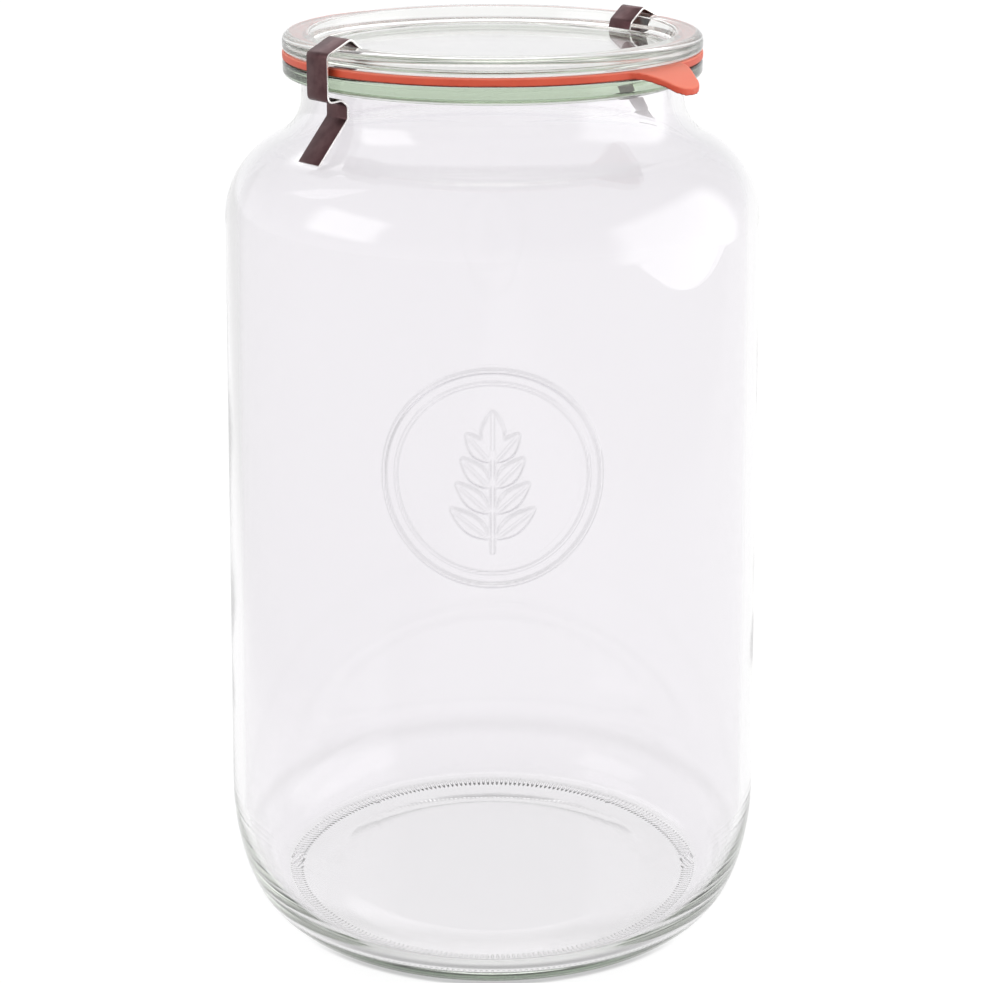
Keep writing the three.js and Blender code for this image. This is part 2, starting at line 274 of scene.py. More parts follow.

# %% [markdown]
# Where the body's glass looks darker
#
# On a real jar of this kind the rim is a pale green band, the foot ends in a thin dark
# green line, and relief in the wall shows as fine grey lines. Stronger absorption could
# give the green, but the whole base and the lid would turn green with it. So the body
# keeps its weak absorption, and these looks are painted into the glass's colour: a painted
# green on the rim and painted shade on the base, the heel, the foot and the relief's
# flanks, laid by their height, their distance from the axis and the slope of the relief.
# The painted dark line on the foot is laid only at the front. At heel and foot the painted
# shade works only on the side of the surface that faces out, so that the floor inside
# stays clear.

# %% Helpers for masks and tints
def fade_between(material, value, start, end):
    """A Map Range node that goes smoothly from 0 at start to 1 at end."""
    fade = material.node_tree.nodes.new("ShaderNodeMapRange")
    fade.interpolation_type = "SMOOTHSTEP"
    fade.inputs["From Min"].default_value = start
    fade.inputs["From Max"].default_value = end
    material.node_tree.links.new(value, fade.inputs["Value"])
    return fade.outputs["Result"]


def overlap(material, first, second):
    """A mask that is 1 only where both masks are."""
    both = material.node_tree.nodes.new("ShaderNodeMath")
    both.operation = "MULTIPLY"
    material.node_tree.links.new(first, both.inputs[0])
    material.node_tree.links.new(second, both.inputs[1])
    return both.outputs["Value"]


def tint_layer(material, colour, mask, tint):
    """Mixes a tint over a colour where the mask is 1."""
    layer = material.node_tree.nodes.new("ShaderNodeMix")
    layer.data_type = "RGBA"
    layer.inputs["B"].default_value = tint
    if isinstance(colour, tuple):
        layer.inputs["A"].default_value = colour
    else:
        material.node_tree.links.new(colour, layer.inputs["A"])
    material.node_tree.links.new(mask, layer.inputs["Factor"])
    return layer.outputs["Result"]


# %% Painted green and shade on the rim, the base, the heel, the foot and the emblem
# Painted green and painted shade in the glass's colour, for the rim, base, heel, foot and relief
RIM_PAINTED_GREEN = (0.53, 0.635, 0.49, 1)
BASE_PAINTED_SHADE = (0.96, 0.955, 0.96, 1)
HEEL_PAINTED_SHADE = (0.74, 0.73, 0.74, 1)
FOOT_PAINTED_SHADE = (0.045, 0.070, 0.040, 1)
RELIEF_PAINTED_SHADE = (0.72, 0.71, 0.73, 1)

# Each pair says where a mask starts and where it is full
RIM_HEIGHTS = (254.4 * MM, 255.6 * MM)
BASE_HEIGHTS, BASE_RADII = (12 * MM, 7 * MM), (68 * MM, 65 * MM)
HEEL_HEIGHTS, HEEL_RADII = (25 * MM, 19 * MM), (74 * MM, 76 * MM)
FOOT_HEIGHTS, FOOT_RADII = (7.2 * MM, 5.2 * MM), (69 * MM, 70.2 * MM)
# The painted dark line on the foot fades out between these distances in front of the axis, so it
# is laid only at the front
FRONT_OF_FOOT = (-38 * MM, -64 * MM)
FLANK_SLOPES = (0.08, 0.6)


def paint_shade_on_body(material):
    """Lays the painted green and painted shade over the body's glass."""
    nodes, links = material.node_tree.nodes, material.node_tree.links
    where = nodes.new("ShaderNodeSeparateXYZ")
    links.new(nodes["Texture Coordinate"].outputs["Object"], where.inputs["Vector"])
    flat = nodes.new("ShaderNodeCombineXYZ")
    from_axis = nodes.new("ShaderNodeVectorMath")
    from_axis.operation = "LENGTH"
    links.new(where.outputs["X"], flat.inputs["X"])
    links.new(where.outputs["Y"], flat.inputs["Y"])
    links.new(flat.outputs["Vector"], from_axis.inputs[0])
    facing = nodes.new("ShaderNodeNewGeometry")
    from_outside = fade_between(material, facing.outputs["Backfacing"], 1, 0)
    relief = nodes.new("ShaderNodeAttribute")
    relief.attribute_name = "relief"

    def band(heights, radii):
        return overlap(
            material, fade_between(material, where.outputs["Z"], *heights),
            fade_between(material, from_axis.outputs["Value"], *radii),
        )

    in_front = fade_between(material, where.outputs["Y"], *FRONT_OF_FOOT)
    front_foot = overlap(material, band(FOOT_HEIGHTS, FOOT_RADII), in_front)
    layers = [
        # Painted green on the rim, standing in for light's long way through the thick rim
        (fade_between(material, where.outputs["Z"], *RIM_HEIGHTS), RIM_PAINTED_GREEN),
        # Painted shade on the base
        (band(BASE_HEIGHTS, BASE_RADII), BASE_PAINTED_SHADE),
        # Painted shade on the outer side of the heel
        (overlap(material, band(HEEL_HEIGHTS, HEEL_RADII), from_outside), HEEL_PAINTED_SHADE),
        # Painted dark green line on the foot, only at the front
        (overlap(material, front_foot, from_outside), FOOT_PAINTED_SHADE),
        # Painted shade on the relief's flanks, by their slope
        (fade_between(material, relief.outputs["Fac"], *FLANK_SLOPES), RELIEF_PAINTED_SHADE),
    ]
    colour = WALL_TINT
    for mask, tint in layers:
        colour = tint_layer(material, colour, mask, tint)
    links.new(colour, nodes["Principled BSDF"].inputs["Base Color"])
    print("%d tints over the body's glass" % len(layers))


paint_shade_on_body(body_glass)

# %% [markdown]
# The section of the body
#
# From the centre of the base the outline runs out over the slightly raised middle, down
# to the foot ring, round a deep soft heel, up a wall that narrows very slightly, over the
# shoulder and into the neck. Under the mouth stands a thick rim for the clips to grip.
# The inside has its own arcs, because the real base and rim are much thicker than the
# wall. One closed outline, turned once, gives them that, and a shell thickened afterwards
# can't. Stretches that follow each other meet in line, or nearly so, except at the edges
# that the real jar has, or the glass would show a dark line there.

# %% Sizes of the body
MOUTH_OUTER_R = lid_high.x
MOUTH_INNER_R = 51.5 * MM
MOUTH_ROUND = 1.2 * MM
RIM_TOP = jar_high.z
RIM_BOTTOM = RIM_TOP - 4.3 * MM
RIM_LOWER_ROUND = 1.4 * MM
RIM_UPPER_ROUND = 0.9 * MM
NECK_R = 54.9 * MM
NECK_Z = 249.6 * MM
NECK_CURVE = 13.8 * MM
NECK_FILLET = 1.6 * MM
SHOULDER_R = 77.6 * MM
SHOULDER_Z = 214.05 * MM
SHOULDER_CURVE = 25.1 * MM
SHOULDER_TURN = 60.2
WALL = 3.4 * MM
HEEL_R = jar_high.x
HEEL_Z = 36.5 * MM
HEEL_INSET = 14.2 * MM
INNER_HEEL_INSET = 13 * MM
FOOT_INNER_R = 56 * MM
FOOT_RIDGE_DROP = 0.3 * MM
PUNT_R = 45 * MM
PUNT_Z = 0.85 * MM
PUNT_STEPS = 12
FLOOR_Z = 5.6 * MM

MEDAL_Z = 157.6 * MM
MEDAL_R = 31 * MM
MEDAL_MARGIN = 1.5 * MM
MEDAL_ROWS = 150
medal_low = MEDAL_Z - MEDAL_R - MEDAL_MARGIN
medal_high = MEDAL_Z + MEDAL_R + MEDAL_MARGIN


# %% Outline of the body
def wall_radius(z):
    """Outside radius of the slightly narrowing wall at a height."""
    share = (z - HEEL_Z) / (SHOULDER_Z - HEEL_Z)
    return HEEL_R + (SHOULDER_R - HEEL_R) * share


def punt_point(i):
    """A point on the soft step between the raised middle and the foot ring."""
    share = i / PUNT_STEPS
    sink = soft_ridge(share, 1.0)
    return (
        PUNT_R + (FOOT_INNER_R - PUNT_R) * share,
        FOOT_RIDGE_DROP + (PUNT_Z - FOOT_RIDGE_DROP) * sink,
    )


def body_outside():
    """From the centre of the base up to the top of the rim."""
    heel_r = HEEL_R - HEEL_INSET
    heel_height = HEEL_Z - FOOT_RIDGE_DROP
    wall_low = (wall_radius(medal_low), medal_low)
    wall_high = (wall_radius(medal_high), medal_high)
    lower_r, lower_z = MOUTH_OUTER_R - RIM_LOWER_ROUND, RIM_BOTTOM + RIM_LOWER_ROUND
    upper_r, upper_z = MOUTH_OUTER_R - RIM_UPPER_ROUND, RIM_TOP - RIM_UPPER_ROUND
    points = [(0, PUNT_Z), (PUNT_R, PUNT_Z)]
    points += [punt_point(i) for i in range(1, PUNT_STEPS + 1)]
    points.append((heel_r, FOOT_RIDGE_DROP))
    points += arc(heel_r, HEEL_Z, HEEL_INSET, -90, 0, 34, height=heel_height)
    points.append(wall_low)
    points += run(wall_low, wall_high, MEDAL_ROWS)
    points += arc(SHOULDER_R - SHOULDER_CURVE, SHOULDER_Z, SHOULDER_CURVE, 0, SHOULDER_TURN, 16)
    points += arc(NECK_R + NECK_CURVE, NECK_Z, NECK_CURVE, 180 + SHOULDER_TURN, 180, 14)
    points += arc(NECK_R + NECK_FILLET, RIM_BOTTOM - NECK_FILLET, NECK_FILLET, 180, 90, 7)
    points += arc(lower_r, lower_z, RIM_LOWER_ROUND, -90, 0, 8)
    points += arc(upper_r, upper_z, RIM_UPPER_ROUND, 0, 90, 6)
    return points


def body_inside():
    """From the mouth down to the centre of the floor."""
    throat = NECK_CURVE + NECK_R - MOUTH_INNER_R
    inner_curve = SHOULDER_CURVE - WALL
    floor_r = HEEL_R - WALL - INNER_HEEL_INSET
    points = arc(MOUTH_INNER_R + MOUTH_ROUND, RIM_TOP - MOUTH_ROUND, MOUTH_ROUND, 90, 180, 6)
    points += arc(NECK_R + NECK_CURVE, NECK_Z, throat, 180, 180 + SHOULDER_TURN, 14)
    points += arc(SHOULDER_R - SHOULDER_CURVE, SHOULDER_Z, inner_curve, SHOULDER_TURN, 0, 16)
    points += arc(floor_r, HEEL_Z, INNER_HEEL_INSET, 0, -90, 26, height=HEEL_Z - FLOOR_Z)
    points.append((0, FLOOR_Z))
    return points


section = body_outside() + body_inside()
print("body section: %d points" % len(section))

# %% [markdown]
# A medallion pressed into the wall
#
# The mould leaves a raised emblem on the front: here a plain ring of two lines round a
# leafy sprig. It could be separate pieces laid on the wall, but in glass every hidden
# join would show as a false surface. So the wall gets fine rows and columns where the
# emblem sits, and those points are pushed outwards by a height that is worked out from
# the distance to each line and leaf.

# %% Height of the emblem, with its sizes in millimetres
EMBLEM_HEIGHT = 0.95
OUTER_LINE_R, OUTER_LINE_HALF = 30.0, 1.0
INNER_LINE_R, INNER_LINE_HALF, INNER_LINE_SHARE = 26.6, 0.8, 0.6
SPRIG_R = 26
STEM_FOOT = -21.0
STEM_TOP = 8.0
STEM_HALF = 0.9
LEAF_FLANK = 0.7
LEAF_TIPWARDS = 0.85
VEIN_HALF, VEIN_DEPTH = 0.7, 0.55

# A leaf is its root across and up, its direction, its length and its width
TOP_LEAF = (0.0, STEM_TOP - 1, math.pi / 2, 13.0, 7.0)
LEAF_PAIRS = 4
LEAF_ROOT_ACROSS = 0.3
LEAF_ROOT_FIRST, LEAF_ROOT_STEP = -17.0, 7.2
LEAF_LEAN_FIRST, LEAF_LEAN_STEP = 38, 4
LEAF_LENGTH_FIRST, LEAF_LENGTH_STEP = 15.5, -1.3
LEAF_WIDTH = 5.8

leaves = [TOP_LEAF]
for pair in range(LEAF_PAIRS):
    lean = math.radians(LEAF_LEAN_FIRST + LEAF_LEAN_STEP * pair)
    for side, angle in ((1, lean), (-1, math.pi - lean)):
        leaves.append((
            LEAF_ROOT_ACROSS * side, LEAF_ROOT_FIRST + LEAF_ROOT_STEP * pair, angle,
            LEAF_LENGTH_FIRST + LEAF_LENGTH_STEP * pair, LEAF_WIDTH,
        ))
print("sprig of %d leaves" % len(leaves))


def leaf_height(u, v, root_u, root_v, angle, length, width):
    """1 on a leaf's face, lower on its vein, falling to 0 at its edge."""
    along = (u - root_u) * math.cos(angle) + (v - root_v) * math.sin(angle)
    side = -(u - root_u) * math.sin(angle) + (v - root_v) * math.cos(angle)
    if not 0 < along < length:
        return 0.0
    half = width / 2 * math.sin(math.pi * (along / length) ** LEAF_TIPWARDS)
    if abs(side) > half:
        return 0.0
    rise = min(1.0, (half - abs(side)) / LEAF_FLANK)
    vein = VEIN_DEPTH * soft_ridge(side, VEIN_HALF)
    return max(0.0, rise - vein)


def emblem_height(u, v):
    """Height in millimetres at u across and v up from the middle of the emblem."""
    distance = math.hypot(u, v)
    height = soft_ridge(distance - OUTER_LINE_R, OUTER_LINE_HALF)
    inner_line = soft_ridge(distance - INNER_LINE_R, INNER_LINE_HALF)
    height = max(height, INNER_LINE_SHARE * inner_line)
    if STEM_FOOT < v < STEM_TOP:
        height = max(height, soft_ridge(u, STEM_HALF))
    if distance < SPRIG_R:
        for leaf in leaves:
            height = max(height, leaf_height(u, v, *leaf))
    return EMBLEM_HEIGHT * height


# %% [markdown]
# Turning the body
#
# Fine columns all the way round would waste most of their faces. The outline is turned in
# two spins, a narrow one with fine steps at the front for the emblem and a wide one with
# coarser steps for the rest. Each point round the emblem also keeps the slope of the
# relief there, and the glass reads it to paint the flanks a little darker, as painted shade.

# %% Turn the body and raise the emblem
FRONT_HALF_ANGLE = 24
FRONT_STEPS = 150
REST_STEPS = 112
SKIN_DEPTH = 1 * MM

bm = outline_mesh(section)
turned_upright(bm, math.radians(-90 - FRONT_HALF_ANGLE))
front_edge = turn(bm, bm.verts[:] + bm.edges[:], 2 * FRONT_HALF_ANGLE, FRONT_STEPS)
turn(bm, front_edge, 360 - 2 * FRONT_HALF_ANGLE, REST_STEPS)
close_up(bm)
relief_layer = bm.verts.layers.float.new("relief")
patch = []
for vert in bm.verts:
    if medal_low < vert.co.z < medal_high:
        radius = math.hypot(vert.co.x, vert.co.y)
        angle = math.atan2(vert.co.x, -vert.co.y)
        on_outside = radius > wall_radius(vert.co.z) - SKIN_DEPTH
        if abs(angle) < math.radians(FRONT_HALF_ANGLE) and on_outside:
            across = angle * wall_radius(MEDAL_Z) / MM
            lift = emblem_height(across, (vert.co.z - MEDAL_Z) / MM) * MM
            vert.co.x *= (radius + lift) / radius
            vert.co.y *= (radius + lift) / radius
            patch.append(vert)
bm.normal_update()
# The slope kept here drives the painted shade on the relief's flanks
for vert in patch:
    outwards = Vector((vert.co.x, vert.co.y, 0)).normalized()
    vert[relief_layer] = vert.normal.cross(outwards).length
print("emblem: a patch of %d points" % len(patch))
piece_from(bm, "jar_glass", "jar_body", body_glass)

# %% [markdown]
# Ridges under the foot
#
# The ring that touches the table is stippled with short radial ridges, so that the hot
# jar doesn't slide and chill on a smooth band. They are far too fine for the body's own
# mesh. Each is a squashed ball with few faces, and a spin sets a few hundred round the
# foot, let into the glass above them. Their own glass has no tint, or they would show as
# a dark stippled band.

# %% Foot ridges
RIDGE_COUNT = 252
RIDGE_R = 63.2 * MM
RIDGE_LENGTH = 5.4 * MM
RIDGE_WIDTH = 1.0 * MM
RIDGE_LIFT = 0.02 * MM
NO_TINT = (1, 1, 1, 1)
RIDGE_WAVE_HEIGHT = 0.02 * MM
RIDGE_WAVE_SCALE = 60

bm = bmesh.new()
moved = Matrix.Translation((RIDGE_R, 0, FOOT_RIDGE_DROP + RIDGE_LIFT))
shaped = Matrix.Diagonal((RIDGE_LENGTH / 2, RIDGE_WIDTH / 2, FOOT_RIDGE_DROP, 1))
bmesh.ops.create_uvsphere(bm, u_segments=8, v_segments=5, radius=1, matrix=moved @ shaped)
bmesh.ops.spin(
    bm, geom=bm.verts[:] + bm.edges[:] + bm.faces[:], cent=(0, 0, 0), axis=(0, 0, 1),
    angle=2 * math.pi * (RIDGE_COUNT - 1) / RIDGE_COUNT, steps=RIDGE_COUNT - 1,
    use_merge=False, use_duplicate=True,
)
ridge_glass = glass_material(
    "clear_glass_ridges", NO_TINT, BODY_IRON, RIDGE_WAVE_HEIGHT, RIDGE_WAVE_SCALE
)
piece_from(bm, "foot_ridges", None, ridge_glass)

# %% [markdown]
# The lid
#
# The lid is pressed glass. A thick rounded rim lies over the ring, and the middle is
# sunk, so that the clips can reach over the rim and press from inside. Below, a shallow
# plug centres the lid in the mouth. Its outline is turned like the body's, in one full
# spin, because nothing on it needs finer steps.

# %% Turn the lid
LID_TOP = lid_high.z
LID_PLUG_Z = lid_low.z
LID_SEAT = LID_PLUG_Z + 5 * MM
LID_PLUG_R = 49.6 * MM
LID_PLUG_ROUND = 1.5 * MM
LID_PLUG_SIDE_R = LID_PLUG_R + 1.1 * MM
LID_SEAT_FILLET = 0.9 * MM
LID_LOWER_R, LID_LOWER_ROUND = 58.8 * MM, 1.2 * MM
LID_UPPER_R, LID_UPPER_ROUND = 57.6 * MM, 2.4 * MM
LID_RIM_INNER_R = 53.2 * MM
LID_WELL_R = 49.9 * MM
LID_WELL_Z = LID_TOP - 4.4 * MM
LID_WELL_ROUND = 1.2 * MM
LID_STEPS = 192


def lid_outline():
    """From the centre of the plug round the rim to the centre of the well."""
    plug_r, plug_round = LID_PLUG_R - LID_PLUG_ROUND, LID_PLUG_ROUND
    lower_width, upper_width = MOUTH_OUTER_R - LID_LOWER_R, MOUTH_OUTER_R - LID_UPPER_R
    lower_z, upper_z = LID_SEAT + LID_LOWER_ROUND, LID_TOP - LID_UPPER_ROUND
    points = [(0, LID_PLUG_Z)]
    points += run((0, LID_PLUG_Z), (plug_r, LID_PLUG_Z), 10)
    points += arc(plug_r, LID_PLUG_Z + plug_round, plug_round, -90, 0, 7)
    points += arc(LID_PLUG_SIDE_R, LID_SEAT - LID_SEAT_FILLET, LID_SEAT_FILLET, 180, 90, 5)
    points += run((LID_PLUG_SIDE_R, LID_SEAT), (LID_LOWER_R, LID_SEAT), 4)
    points += arc(LID_LOWER_R, lower_z, lower_width, -90, 0, 7, height=LID_LOWER_ROUND)
    points += arc(LID_UPPER_R, upper_z, upper_width, 0, 90, 12, height=LID_UPPER_ROUND)
    points += arc(LID_RIM_INNER_R, LID_TOP - LID_WELL_ROUND, LID_WELL_ROUND, 90, 160, 8)
    points += arc(LID_WELL_R, LID_WELL_Z + LID_WELL_ROUND, LID_WELL_ROUND, -20, -90, 7)
    points += run((LID_WELL_R, LID_WELL_Z), (0, LID_WELL_Z), 10)
    return points


bm = outline_mesh(lid_outline())
turn(bm, bm.verts[:] + bm.edges[:], 360, LID_STEPS)
close_up(bm)
piece_from(bm, "lid_glass", "glass_lid", lid_glass)

# %% [markdown]
# Rubber
#
# The ring is natural rubber: matt, slightly waxy and a strong orange. Its upward faces
# are painted paler, as painted light, and its downward faces a deep red, as painted shade.
# One flat colour would look like paint. So a slow noise varies the orange, the direction
# of the face paints it paler or deeper, and a little subsurface scattering keeps the
# shaded side warm.
# Fine mould grain comes from a small bump.

# %% Rubber material
ORANGE_RUBBER = ((0.3, (0.56, 0.062, 0.022, 1)), (0.75, (0.66, 0.085, 0.032, 1)))
# Painted light: upward faces are painted this paler orange
PAINTED_LIGHT_RUBBER = (0.93, 0.235, 0.150, 1)
# Painted shade: downward faces are painted this deep red
SHADED_RUBBER = (0.20, 0.008, 0.003, 1)
UPWARD_FACES = (0.1, 0.9)
DOWNWARD_FACES = (-0.1, -0.8)


def noise(nodes, scale, detail):
    """A noise texture with its scale and detail set."""
    texture = nodes.new("ShaderNodeTexNoise")
    texture.inputs["Scale"].default_value = scale
    texture.inputs["Detail"].default_value = detail
    return texture


def colour_ramp(nodes, stops):
    """A colour ramp with two stops, each a position and a colour."""
    ramp = nodes.new("ShaderNodeValToRGB")
    for element, (position, colour) in zip(ramp.color_ramp.elements, stops):
        element.position = position
        element.color = colour
    return ramp


def rubber_material():
    """Matt orange rubber, with painted light on top and painted shade underneath."""
    material, nodes, links, shader = shader_nodes("orange_rubber")
    shader.inputs["Roughness"].default_value = 0.48
    shader.inputs["IOR"].default_value = 1.5
    shader.inputs["Subsurface Weight"].default_value = 0.25
    shader.inputs["Subsurface Radius"].default_value = (1.0, 0.35, 0.2)
    shader.inputs["Subsurface Scale"].default_value = 1.2 * MM
    place = nodes.new("ShaderNodeTexCoord")
    clouds = noise(nodes, scale=90, detail=3)
    colours = colour_ramp(nodes, ORANGE_RUBBER)
    grain = noise(nodes, scale=2600, detail=2)
    bump = nodes.new("ShaderNodeBump")
    bump.inputs["Strength"].default_value = 0.35
    bump.inputs["Distance"].default_value = 0.04 * MM
    links.new(place.outputs["Object"], clouds.inputs["Vector"])
    links.new(place.outputs["Object"], grain.inputs["Vector"])
    links.new(clouds.outputs["Fac"], colours.inputs["Fac"])
    facing = nodes.new("ShaderNodeNewGeometry")
    upward = nodes.new("ShaderNodeSeparateXYZ")
    links.new(facing.outputs["Normal"], upward.inputs["Vector"])
    above = fade_between(material, upward.outputs["Z"], *UPWARD_FACES)
    below = fade_between(material, upward.outputs["Z"], *DOWNWARD_FACES)
    # Painted light on upward faces, painted shade on downward ones
    colour = tint_layer(material, colours.outputs["Color"], above, PAINTED_LIGHT_RUBBER)
    colour = tint_layer(material, colour, below, SHADED_RUBBER)
    links.new(colour, shader.inputs["Base Color"])
    links.new(grain.outputs["Fac"], bump.inputs["Height"])
    links.new(bump.outputs["Normal"], shader.inputs["Normal"])
    print("%s: %d nodes" % (material.name, len(nodes)))
    return material


rubber = rubber_material()

# %% [markdown]
# The ring and its pull tab
#
# The ring is a flat band squeezed between lid and rim, and the tab is the tongue that a
# cook pulls to let air in. A ring can be spun and a tongue cut from a plate, but the
# moulded part flows from one into the other. So both rough shapes are put in one mesh, a
# voxel remesh melts them together, and a few rounds of smoothing give the soft edges of
# moulded rubber.

# %% The rough band
RING_BOTTOM = RIM_TOP + 0.12 * MM
RING_TOP = LID_SEAT - 0.05 * MM
RING_INNER_R = 54 * MM
RING_STEPS = 240


def pour_into(bm, part):
    """Adds the faces of one bmesh to another and frees the first."""
    rough = bpy.data.meshes.new("rough")
    part.to_mesh(rough)
    part.free()
    bm.from_mesh(rough)
    bpy.data.meshes.remove(rough)


bm = bmesh.new()
band = outline_mesh([
    (RING_INNER_R, RING_BOTTOM), (MOUTH_OUTER_R, RING_BOTTOM),
    (MOUTH_OUTER_R, RING_TOP), (RING_INNER_R, RING_TOP), (RING_INNER_R, RING_BOTTOM),
])
bmesh.ops.remove_doubles(band, verts=band.verts, dist=WELD_DISTANCE)
turn(band, band.verts[:] + band.edges[:], 360, RING_STEPS)
close_up(band)
pour_into(bm, band)
print("rough band: %d faces" % len(bm.faces))

# %% The rough tab
TAB_AZIMUTH = math.radians(49)
TAB_ROOT_WIDTH = 25 * MM
TAB_TIP_WIDTH = 13 * MM
TAB_LENGTH = 11.4 * MM
TAB_DROOP = 5 * MM
TAB_DROOP_START = 0.8 * MM
TAB_DROOP_CURVE = 1.45
TAB_THICK = 2.0 * MM
TAB_OVERLAP = 1.5 * MM
TAB_NARROWED, TAB_NARROWING = 0.72, 1.15
TAB_ROUNDED, TAB_ROUNDING = 0.6, 2.4
TAB_LEAST_HALF_WIDTH = 0.2 * MM
TAB_ROWS = 40
TAB_COLUMNS = 12


def tab_half_width(out):
    """Half the tab's width, out from 0 at its root to 1 at its tip."""
    root, tip = TAB_ROOT_WIDTH / 2, TAB_TIP_WIDTH / 2
    side = root + (tip - root) * min(1.0, out / TAB_NARROWED) ** TAB_NARROWING
    if out > TAB_ROUNDED:
        past = (out - TAB_ROUNDED) / (1 - TAB_ROUNDED)
        side *= math.sqrt(max(0.0, 1 - past ** TAB_ROUNDING))
    return side


tab_root_y = math.sqrt(MOUTH_OUTER_R ** 2 - (TAB_ROOT_WIDTH / 2) ** 2) - TAB_OVERLAP
tab_tip_y = MOUTH_OUTER_R + TAB_LENGTH
tab_low_z = (RING_BOTTOM + RING_TOP) / 2 - TAB_THICK / 2
tab = bmesh.new()
bmesh.ops.create_grid(tab, x_segments=TAB_COLUMNS, y_segments=TAB_ROWS, size=1)
for vert in tab.verts:
    out = (vert.co.y + 1) / 2
    y = tab_root_y + (tab_tip_y - tab_root_y) * out
    past = max(0.0, y - MOUTH_OUTER_R - TAB_DROOP_START) / (tab_tip_y - MOUTH_OUTER_R)
    side = max(TAB_LEAST_HALF_WIDTH, tab_half_width(out))
    vert.co = (vert.co.x * side, y, tab_low_z - TAB_DROOP * past ** TAB_DROOP_CURVE)
tab_faces = bmesh.ops.extrude_face_region(tab, geom=tab.faces[:])
tab_top = [item for item in tab_faces["geom"] if isinstance(item, bmesh.types.BMVert)]
bmesh.ops.translate(tab, verts=tab_top, vec=(0, 0, TAB_THICK))
bmesh.ops.recalc_face_normals(tab, faces=tab.faces)
turned_upright(tab, TAB_AZIMUTH + math.pi)
pour_into(bm, tab)
print("band and tab: %d faces" % len(bm.faces))

# %% Melt them together
RUBBER_VOXEL = 0.38 * MM
SMOOTHING_ROUNDS = 5
RING_EDGE_R = MOUTH_OUTER_R + 0.2 * MM
RING_AIR = 0.02 * MM


def apply_modifiers(piece):
    """Bakes a piece's modifiers into its mesh."""
    depsgraph = bpy.context.evaluated_depsgraph_get()
    finished = bpy.data.meshes.new_from_object(piece.evaluated_get(depsgraph))
    piece.modifiers.clear()
    piece.data = finished


ring = piece_from(bm, "rubber_ring", "sealing_ring", rubber)
remesh = ring.modifiers.new("melt_together", "REMESH")
remesh.mode = "VOXEL"
remesh.voxel_size = RUBBER_VOXEL
remesh.use_smooth_shade = True
soften = ring.modifiers.new("soften", "SMOOTH")
soften.factor = 0.5
soften.iterations = SMOOTHING_ROUNDS
apply_modifiers(ring)

# The band stays between rim and lid, also where the remesh swelled it
for vert in ring.data.vertices:
    if math.hypot(vert.co.x, vert.co.y) < RING_EDGE_R:
        vert.co.z = min(max(vert.co.z, RING_BOTTOM + RING_AIR), RING_TOP - RING_AIR)
print("rubber ring after remesh: %d faces" % len(ring.data.polygons))

# %% [markdown]
# Spring steel
#
# The clips are cut from rolled strip and bent cold. The rolled faces have a dark brown
# bloom with fine streaks along the strip, and the cut edges stay bright. Two materials
# on one piece show that: one for the wide faces, one for the narrow ones.

# %% Steel materials
STREAK_STRETCH = (1.0, 1.0, 0.12)
BLOOM_STOPS = (0.3, 0.72)
GLOSS_BELOW = 0.08
GLOSS_ABOVE = 0.12


def steel_material(name, dark, light, roughness):
    """Metal that goes from dark to light in clouds, with streaks along the strip."""
    material, nodes, links, shader = shader_nodes(name)
    shader.inputs["Metallic"].default_value = 1.0
    place = nodes.new("ShaderNodeTexCoord")
    stretch = nodes.new("ShaderNodeMapping")
    stretch.inputs["Scale"].default_value = STREAK_STRETCH
    streaks = noise(nodes, scale=900, detail=4)
    bloom = noise(nodes, scale=260, detail=3)
    colours = colour_ramp(nodes, zip(BLOOM_STOPS, (dark, light)))
    gloss = nodes.new("ShaderNodeMapRange")
    gloss.inputs["To Min"].default_value = roughness - GLOSS_BELOW
    gloss.inputs["To Max"].default_value = roughness + GLOSS_ABOVE
    bump = nodes.new("ShaderNodeBump")
    bump.inputs["Strength"].default_value = 0.4
    bump.inputs["Distance"].default_value = 0.02 * MM
    links.new(place.outputs["Object"], stretch.inputs["Vector"])
    links.new(stretch.outputs["Vector"], streaks.inputs["Vector"])
    links.new(place.outputs["Object"], bloom.inputs["Vector"])
    links.new(bloom.outputs["Fac"], colours.inputs["Fac"])
    links.new(colours.outputs["Color"], shader.inputs["Base Color"])
    links.new(streaks.outputs["Fac"], gloss.inputs["Value"])
    links.new(gloss.outputs["Result"], shader.inputs["Roughness"])
    links.new(streaks.outputs["Fac"], bump.inputs["Height"])
    links.new(bump.outputs["Normal"], shader.inputs["Normal"])
    print("%s: %d nodes" % (material.name, len(nodes)))
    return material


face_steel = steel_material(
    "rolled_steel", dark=(0.080, 0.038, 0.042, 1), light=(0.135, 0.074, 0.077, 1), roughness=0.34
)
edge_steel = steel_material(
    "cut_steel", dark=(0.72, 0.70, 0.69, 1), light=(0.86, 0.84, 0.82, 1), roughness=0.22
)

# %% [markdown]
# The clips
#
# Each clip is one strip. Its middle line goes from a foot in the lid's well over the rim,
# straight down outside, in under the rim of the body, and out again as a tab for the
# finger. A block cut to shape would lose the even thickness of bent sheet. So the line is
# laid out in radius and height with every bend rounded, pulled across to the strip's
# width, given the thickness of the sheet, and its edges eased a little.

